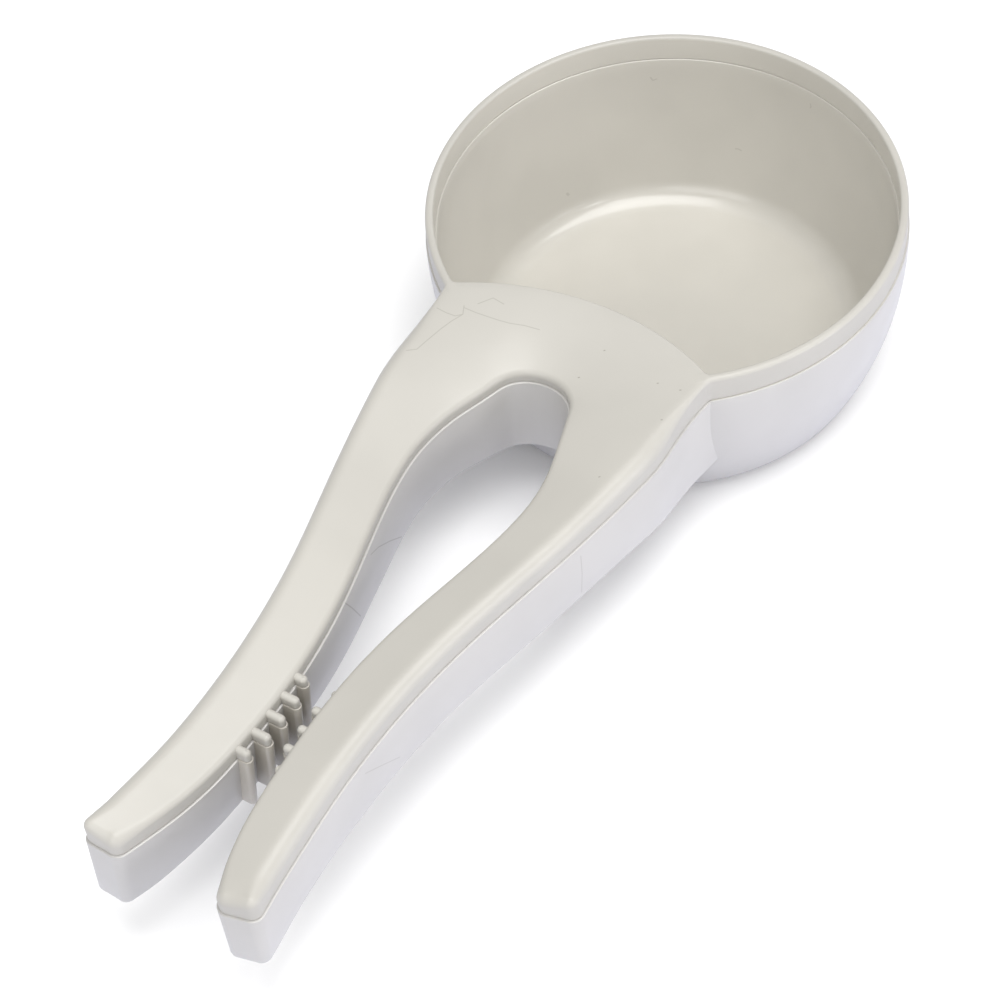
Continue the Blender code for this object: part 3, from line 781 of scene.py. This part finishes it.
# ---------------------------------------------------------------- Rim, web and leg covers
# The upper half of the handle, moulded as one with the cup's rim: a smooth skin that slopes
# down to the arch, with a broad round outer edge, pressed on along the shadow line below it.
RIM_IN = RIM - 0.0017
CREASE = 0.0020
LIP_IN, LIP_OUT, WEB_EDGE = 0.0005, 0.0008, 0.0004
OUTER_ROUND, ARCH_ROUND, TIP_ROUND = 0.0032, 0.0011, 0.0018
ROUND_FROM, ROUND_TO = 0.84, 1.16
DROP = ((1.0, .071), (1.5, .071), (2.2, .068), (2.9, .060), (3.4, .042), (3.7, .034))
DROP_FROM, DROP_OVER = 0.5, 0.05
HOLLOW, HOLLOW_TO, HOLLOW_OVER = 0.5, 1.7, 0.7
TUCK = 0.0006
SPREAD_STEPS, SPREAD_START = 36, 0.12
CORNER_BACK, CREASE_BACK = 1.13, 1.15
COVER_COLOUR = (0.476, 0.460, 0.420)
COVER_STEPS = (
    (0.0, HIGH - SEAM + LEDGE / 2), (-LEDGE / 2, HIGH - SEAM),
    (-TUCK, HIGH - SEAM), (-TUCK, HIGH - SEAM - TUCK),
)
mouth_edge = mouth(RIM_IN, ARC)
half_corner = ARC_CUTS + CORNER_CUTS // 2
square = np.gradient(side_line, axis=0)
square = np.stack([-square[:, 1], square[:, 0]], 1) / np.linalg.norm(square, axis=1)[:, None]
centres = side_line + square * CREASE
near_cup = -side_line[:, 1] < 1.1 * RIM
spot = int(np.flatnonzero(near_cup & (np.linalg.norm(centres, axis=1) >= RIM + CREASE))[0])
gaps = np.linalg.norm(centres[spot - 1:spot + 1], axis=1) - RIM - CREASE
part = gaps[0] / (gaps[0] - gaps[1])
centre = centres[spot - 1] * (1 - part) + centres[spot] * part
foot = side_line[spot - 1] * (1 - part) + side_line[spot] * part
turn_from = math.atan2(-centre[1], -centre[0])
turn_to = math.atan2(foot[1] - centre[1], foot[0] - centre[0]) % (2 * math.pi)
turn = np.linspace(turn_from, turn_to, CORNER_CUTS + 1)
crease = centre + CREASE * np.stack([np.cos(turn), np.sin(turn)], 1)
half_crease = CORNER_CUTS // 2
over_lip = crease[half_crease] - mouth_edge[half_corner]
lip_share = graded(np.linalg.norm(over_lip), LIP_IN, LIP_OUT, cuts=5, between=4)
join = mouth_edge[half_corner] + over_lip * lip_share[:, None]
foot_back = -foot[1] / RIM
top_neck = np.linspace(0, 1, SPREAD_STEPS, endpoint=False)[1:]
top_neck_far = side_at(foot_back + (LEG_AT - foot_back) * top_neck)
top_far = np.concatenate([
    mouth_edge[:half_corner + 1], join[1:], crease[half_crease + 1:], top_neck_far, legs_far
])
corner_run, crease_run = float(arch_back(CORNER_BACK)), float(arch_back(CREASE_BACK))
neck_share = SPREAD_START * top_neck + (1 - SPREAD_START) * top_neck**2
top_near = np.concatenate([
    arch_at(np.linspace(0, root_run, half_corner + 1)),
    arch_at(np.linspace(root_run, corner_run, len(join))[1:]),
    arch_at(np.linspace(corner_run, crease_run, half_crease + 1)[1:]),
    arch_at(crease_run + (leg_run - crease_run) * neck_share),
    legs_near,
])
grow = smooth((-top_far[:, 1] / RIM - ROUND_FROM) / (ROUND_TO - ROUND_FROM))
far_round = LIP_OUT + (OUTER_ROUND - LIP_OUT) * grow
far_round = far_round + (TIP_ROUND - far_round) * tip_share(top_far)
far_round[:half_corner + 1] = WEB_EDGE
near_round = ARCH_ROUND + (TIP_ROUND - ARCH_ROUND) * tip_share(top_near)
cover_rows = sections(top_near, top_far, near_round, far_round)
ring_in = mouth_edge[half_corner:]
ring_turn = np.linspace(math.atan2(crease[0, 1], crease[0, 0]), math.pi / 2, ROUND_CUTS + 1)[1:]
ring_out = np.concatenate([
    crease[half_crease::-1], RIM * np.stack([np.cos(ring_turn), np.sin(ring_turn)], 1)
])
ring_in[-1, 0] = ring_out[-1, 0] = 0
rim_rows = ring_in[:, None] + (ring_out - ring_in)[:, None] * lip_share[None, :, None]
rim_rows = np.concatenate([rim_rows, np.zeros(rim_rows.shape)[:, :, :1]], 2)
mouth_loop = np.concatenate([mouth_edge, mirror(mouth_edge)[::-1][1:-1]])
mouth_round = LIP_IN + (WEB_EDGE - LIP_IN) * web_side
mouth_round = np.concatenate([mouth_round, mouth_round[::-1][1:-1]])
first_far = half_corner + len(join)
outer_far = np.concatenate([ring_out[::-1], top_far[first_far:]])
outer_round = np.concatenate([np.full(len(ring_out), LIP_OUT), far_round[first_far:]])
tip_end = cover_rows[-1, :, :2][::-1][1:-1]
right = np.concatenate([outer_far, tip_end, top_near[::-1]])
right_round = np.concatenate([outer_round, np.full(len(tip_end), TIP_ROUND), near_round[::-1]])
outer_loop = np.concatenate([right[:-1], mirror(right)[::-1][:-1]])
outer_round = np.concatenate([right_round[:-1], right_round[::-1][:-1]])
arch_loop = np.concatenate([top_near, mirror(top_near)[::-1][:-1]])


def top_fall(points):
    """How far the top lies below the rim, from nothing outside to most at the arch."""
    from_arch, _ = nearest_edge(points, [arch_loop], [np.zeros(len(arch_loop))])
    x, y = np.abs(points[:, 0]), points[:, 1]
    to_mouth = np.maximum(ARC - np.hypot(x, np.maximum(y + ARC_AT, 0)), 1e-5)
    to_side = np.maximum(side_at(-y / RIM)[:, 0] - x, 1e-5)
    to_edge = (to_mouth**-2.0 + to_side**-2.0) ** -0.5
    hollow = 1 + HOLLOW * np.clip((HOLLOW_TO + y / RIM) / HOLLOW_OVER, 0, 1)
    drop = ease(DROP, np.clip(-y / RIM, DROP[0][0], DROP[-1][0])) * RIM
    on_handle = np.clip((-y / RIM - DROP_FROM) / DROP_OVER, 0, 1)
    return on_handle * drop * (to_edge / (from_arch + to_edge)) ** hollow


cover_plastic = plastic(
    "rim_and_cover_plastic", COVER_COLOUR, roughness=0.42, seed=8.2, gloss=0.12, shine=0.38
)
fine_marks(cover_plastic, [
    [(-24.7, -57.4, 0), (-23.2, -56.1, 0), (-22.6, -53.1, 0), (-21.8, -49.5, 0), (-21.0, -46.8, 0),
     (-20.0, -44.4, 0), (-20.9, -42.5, 0)],
    [(-20.7, -42.9, 0), (-18.0, -42.8, 0), (-15.4, -42.5, 0), (-13.2, -42.2, 0), (-11.0, -41.8, 0),
     (-8.2, -40.9, 0), (-5.2, -40.4, 0)],
    [(-25.1, -45.6, 0), (-23.0, -45.7, 0), (-21.1, -45.5, 0), (-20.0, -44.4, 0)],
    [(-18.8, -40.8, 0), (-16.9, -38.2, 0), (-14.3, -38.5, 0)],
], (1, 1, 0), wide=0.00013, depth=0.30)
fine_marks(cover_plastic, [
    [(x, y, 0), (x + 0.15, y + 0.1, 0)] for x, y in (
        (21.7, -42.1), (26.4, -41.8), (26.8, -49.7), (6.9, -46.4), (8.5, -39.3), (23.0, -66.4),
    )
], (1, 1, 0), wide=0.00018, depth=0.50)
fine_marks(bowl_painted_light_plastic, [
    [(-25.3, 38.3, 30.8), (-24.9, 38.5, 29.9), (-24.2, 38.7, 30.2)],
    [(-36.3, 19.3, 7.6), (-36.0, 19.3, 7.1)],
    [(9.1, 45.0, 32.4), (9.3, 44.8, 31.7), (9.1, 44.8, 31.3)],
    [(-7.3, 42.6, 13.9), (-6.7, 42.8, 14.0), (-6.0, 42.8, 13.8)],
], (1, 0, 1), wide=0.00018, depth=0.22)
upper = moulded(
    "upper_shell", [cover_rows, mirror(cover_rows), rim_rows, mirror(rim_rows)], top_fall,
    [mouth_loop, outer_loop], [mouth_round, outer_round], 1.0, COVER_STEPS, cover_plastic,
)
close_end(upper)
rim = piece("rim_and_web_skin", upper, on_root, cover_plastic)
# The rim's inner band takes the bowl's lighter, warmer copy of the plastic: painted warm bounce
# light.
rim.data.materials.append(bowl_painted_light_plastic)
for face in rim.data.polygons:
    inner = math.hypot(face.center.x, face.center.y) < RIM_IN + 0.0001 and face.normal.z < 0.3
    if inner and face.center.z < HIGH - LIP_IN * 0.6 and face.center.y > -RIM * 0.8:
        face.material_index = 1
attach(rim, "scoop")
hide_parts("rim_and_web")
for side, keep in (("left", on_left), ("right", on_right)):
    skin = piece(f"{side}_leg_cover_skin", upper, keep, cover_plastic)
    bend_leg(skin)
    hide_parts(f"{side}_leg_cover")

# ---------------------------------------------------------------- Ribs
# Five short grip ribs on the inner side of each leg near its tip, moulded with its two shells:
# a round-topped head on the cover and a long half-round fin on the shell, parted by the seam.
RIB_HALF = 0.00085
RIB_LENGTH = 0.0075
RIB_FROM = 2.669
RIB_PITCH = 0.00444
RIB_COUNT = 5
NOSE = {"left": 0.0125, "right": 0.047}
NOSE_SET = 0.026
HEAD_FALL = 0.0006
FIN_SHORT = 0.0006
# Darker, warmer grey for the fins: painted shade between the ribs.
FIN_SHADE_COLOUR = (0.455, 0.428, 0.378)
RIB_CUTS = 8


def rib_tree():
    """Node tree that turns one upright section round a rib's outline and sets out the row."""
    tree, given = tree_with("rib_row", (
        "Length", "Half width", "Nose", "Nose set", "First", "Pitch", "Seam height", "Grow",
    ), counts=("Count",))

    def step(kind, *feeds, **settings):
        """Link to the main result of one more node of the tree."""
        return node(tree, f"GeometryNode{kind}", feeds, **settings).outputs[0]

    def place(*feeds):
        """Link to a place made of single (axis, length) pairs."""
        return node(tree, "ShaderNodeCombineXYZ", feeds).outputs[0]

    wide = reckon(tree, "MULTIPLY", given["Half width"], 2.0)
    round_off = reckon(tree, "MULTIPLY", given["Half width"], 0.999)
    path = step("CurvePrimitiveQuadrilateral", ("Width", given["Length"]), ("Height", wide))
    path = step(
        "FilletCurve", ("Curve", path), ("Count", RIB_CUTS), ("Radius", round_off),
        ("Limit Radius", True), mode="POLY",
    )
    section = step("MeshToCurve", ("Mesh", given["Geometry"]))
    rib = step("CurveToMesh", ("Curve", path), ("Profile Curve", section))
    rib = step("MergeByDistance", ("Geometry", rib), ("Distance", 0.00002))
    home = place((0, reckon(tree, "MULTIPLY", given["Length"], 0.5)))
    rib = step("Transform", ("Geometry", rib), ("Translation", home))
    first = reckon(tree, "MULTIPLY", given["First"], -1.0)
    pitch = place((1, reckon(tree, "MULTIPLY", given["Pitch"], -1.0)))
    start = place((0, given["Nose"]), (1, first))
    row = step("MeshLine", ("Count", given["Count"]), ("Start Location", start), ("Offset", pitch))
    last = reckon(tree, "SUBTRACT", given["Count"], 1.0)
    end = reckon(tree, "COMPARE", reckon(tree, "MODULO", step("InputIndex"), last), 0.0, 0.1)
    set_back = place((0, reckon(tree, "MULTIPLY", end, given["Nose set"])))
    row = step("SetPosition", ("Geometry", row), ("Offset", set_back))
    ribs = step("InstanceOnPoints", ("Points", row), ("Instance", rib))
    ribs = step("RealizeInstances", (0, ribs))
    spot = node(tree, "ShaderNodeSeparateXYZ", [(0, step("InputPosition"))]).outputs
    above = reckon(tree, "SUBTRACT", spot[2], given["Seam height"])
    behind = reckon(tree, "SUBTRACT", first, spot[1])
    lift = reckon(tree, "MULTIPLY", reckon(tree, "MULTIPLY", above, behind), given["Grow"])
    ribs = step("SetPosition", ("Geometry", ribs), ("Offset", place((2, lift))))
    end_with(tree, ribs, given["Plastic"])
    return tree


def rib_row(name, section, values):
    """The row of rib parts that the tree makes from one section of (set-out, height)."""
    mesh = bpy.data.meshes.new(name)
    line = [(out, -up, 0) for out, up in section]
    mesh.from_pydata(line, [(k, k + 1) for k in range(len(line) - 1)], [])
    made = grown(placed(name, mesh), ribs_tree, values)
    work = bmesh.new()
    work.from_mesh(made)
    bmesh.ops.dissolve_degenerate(work, dist=1e-6, edges=work.edges)
    bmesh.ops.recalc_face_normals(work, faces=work.faces)
    work.to_mesh(made)
    work.free()
    finish_mesh(made)
    return made


def height_at(curve, back):
    """Height of a leg's top (DROP) or underside (UNDER) at a share behind the cup."""
    return HIGH - float(ease(curve, np.array([back]))[0]) * RIM


ribs_tree = rib_tree()
half_turn = np.linspace(0, math.pi / 2, RIB_CUTS + 1)
row_long = RIB_PITCH * (RIB_COUNT - 1)
crest = height_at(DROP, RIB_FROM) - HEAD_FALL
last_crest = height_at(DROP, RIB_FROM + row_long / RIM) - HEAD_FALL
seam_high = HIGH - SEAM
shoulder = crest - RIB_HALF
head = [(-RIB_HALF, seam_high), (-LEDGE / 2, seam_high), (0, seam_high + LEDGE / 2)]
head += [(-RIB_HALF * (1 - math.cos(a)), shoulder + RIB_HALF * math.sin(a)) for a in half_turn]
fin_base = height_at(UNDER, RIB_FROM) + FIN_SHORT
out = PROUD / 2
fin = [(-RIB_HALF, ledge), (out - LEDGE, ledge)]
fin += [(out - LEDGE * 0.3, ledge - LEDGE * 0.3), (out, ledge - LEDGE)]
fin += [(-RIB_HALF * (1 - math.cos(a)), fin_base + RIB_HALF * (1 - math.sin(a))) for a in half_turn]
layout = {
    "Length": RIB_LENGTH, "Half width": RIB_HALF, "Nose set": NOSE_SET * RIM,
    "First": RIB_FROM * RIM, "Pitch": RIB_PITCH, "Count": RIB_COUNT, "Seam height": seam_high,
}
grow = (last_crest - crest) / (crest - seam_high) / row_long
# The fins wear a darker, warmer copy of the plastic: painted shade between the ribs.
fin_shade_plastic = plastic("rib_fin_shade_plastic", FIN_SHADE_COLOUR, roughness=0.34, seed=4.4, gloss=0.25)
for kind, section, stretch_up, material in (
    ("heads", head, grow, cover_plastic), ("fins", fin, 0.0, fin_shade_plastic),
):
    for side in ("left", "right"):
        mesh = rib_row(f"rib_{kind}", section, {
            **layout, "Nose": NOSE[side] * RIM, "Grow": stretch_up, "Plastic": material
        })
        if side == "left":
            mesh.transform(Matrix.Scale(-1, 4, (1, 0, 0)))
            mesh.flip_normals()
        for vert in mesh.vertices:
            settle(vert)
        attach(placed(f"{side}_rib_{kind}", mesh), f"{side}_leg")

# ---------------------------------------------------------------- Light, floor and camera
# A white sweep under a broad soft box overhead, with a low cool one on the right, a third
# before the legs' tips and a small lamp for the gloss. The camera stands above the right
# leg and looks down along the handle to the cup.
FLOOR_HALF = 3.0
FLOOR_LOW = -0.00005
FLOOR_WHITE, FLOOR_GLOW = (0.97, 0.97, 0.97, 1), (0.80, 0.81, 0.90, 1)
WHITE_FROM, WHITE_TO = 0.24, 0.50
HANDLE_MIDDLE = (0, -0.06, 0)
LAMPS_AIM = Vector((0, -0.06, 0.03))
WORLD_LIGHT = 0.45
PLAIN_LIGHT, COOL_LIGHT = (1, 1, 1), (0.96, 0.955, 1.0)
LAMPS = (
    ("overhead_box", (0.18, -0.02, 1.10), 0.8, 10.2, PLAIN_LIGHT),
    ("key_box", (0.95, 0.05, 0.26), 0.5, 3.1, COOL_LIGHT),
    ("front_box", (0.10, -0.95, 0.60), 0.8, 4.1, PLAIN_LIGHT),
    ("side_spot", (0.72, -0.20, 0.72), 0.12, 0.45, PLAIN_LIGHT),
)
floor_mesh = bpy.data.meshes.new("floor")
floor_mesh.from_pydata([
    (x * FLOOR_HALF, y * FLOOR_HALF, FLOOR_LOW) for x, y in ((-1, -1), (1, -1), (1, 1), (-1, 1))
], [], [(0, 1, 2, 3)])
floor_paint = bpy.data.materials.new("floor_paint")
floor_paint.use_nodes = True
floor_tree = floor_paint.node_tree
paint = floor_tree.nodes["Principled BSDF"]
paint.inputs["Roughness"].default_value = 0.9
floor_seen = node(floor_tree, "ShaderNodeLightPath").outputs["Is Camera Ray"]
tint = node(floor_tree, "ShaderNodeMix", [
    (0, floor_seen), (6, FLOOR_GLOW), (7, FLOOR_WHITE)
], data_type="RGBA")
floor_tree.links.new(tint.outputs[2], paint.inputs["Base Color"])
floor_place = node(floor_tree, "ShaderNodeTexCoord").outputs["Object"]
from_middle = of_places(floor_tree, "DISTANCE", floor_place, HANDLE_MIDDLE)["Value"]
whiten = node(floor_tree, "ShaderNodeMapRange", [
    (0, from_middle), (1, WHITE_FROM), (2, WHITE_TO)
], interpolation_type="SMOOTHSTEP").outputs[0]
white = node(floor_tree, "ShaderNodeEmission", [("Strength", 1.0)])
sweep = node(floor_tree, "ShaderNodeMixShader", [
    (0, reckon(floor_tree, "MULTIPLY", whiten, floor_seen)), (1, paint.outputs[0]),
    (2, white.outputs[0]),
])
floor_surface = floor_tree.nodes["Material Output"].inputs["Surface"]
floor_tree.links.new(sweep.outputs[0], floor_surface)
floor_mesh.materials.append(floor_paint)
placed("floor", floor_mesh)

world = bpy.data.worlds.new("studio")
bpy.context.scene.world = world
world.use_nodes = True
sky = world.node_tree.nodes["Background"]
sky_seen = node(world.node_tree, "ShaderNodeLightPath").outputs["Is Camera Ray"]
rays = node(world.node_tree, "ShaderNodeMix", [
    (0, sky_seen), (2, WORLD_LIGHT), (3, 1.0)
], data_type="FLOAT")
world.node_tree.links.new(rays.outputs[0], sky.inputs["Strength"])
sky.inputs["Color"].default_value = (1, 1, 1, 1)

for name, stand, size, power, colour in LAMPS:
    lamp = bpy.data.lights.new(name, "AREA")
    lamp.shape = "SQUARE"
    lamp.size = size
    lamp.energy = power
    lamp.color = colour
    box = placed(name, lamp)
    box.location = stand
    box.rotation_euler = (LAMPS_AIM - Vector(stand)).to_track_quat("-Z", "Y").to_euler()

camera = bpy.data.cameras.new("camera")
camera.lens = 98.3577
camera.sensor_width = 36.0
view = placed("camera", camera)
view.location = (0.192544, -0.326436, 0.435545)
view.rotation_euler = tuple(math.radians(a) for a in (37.69276, 4.11966, 31.21625))
bpy.context.scene.camera = view
bpy.context.scene.view_settings.view_transform = "Standard"
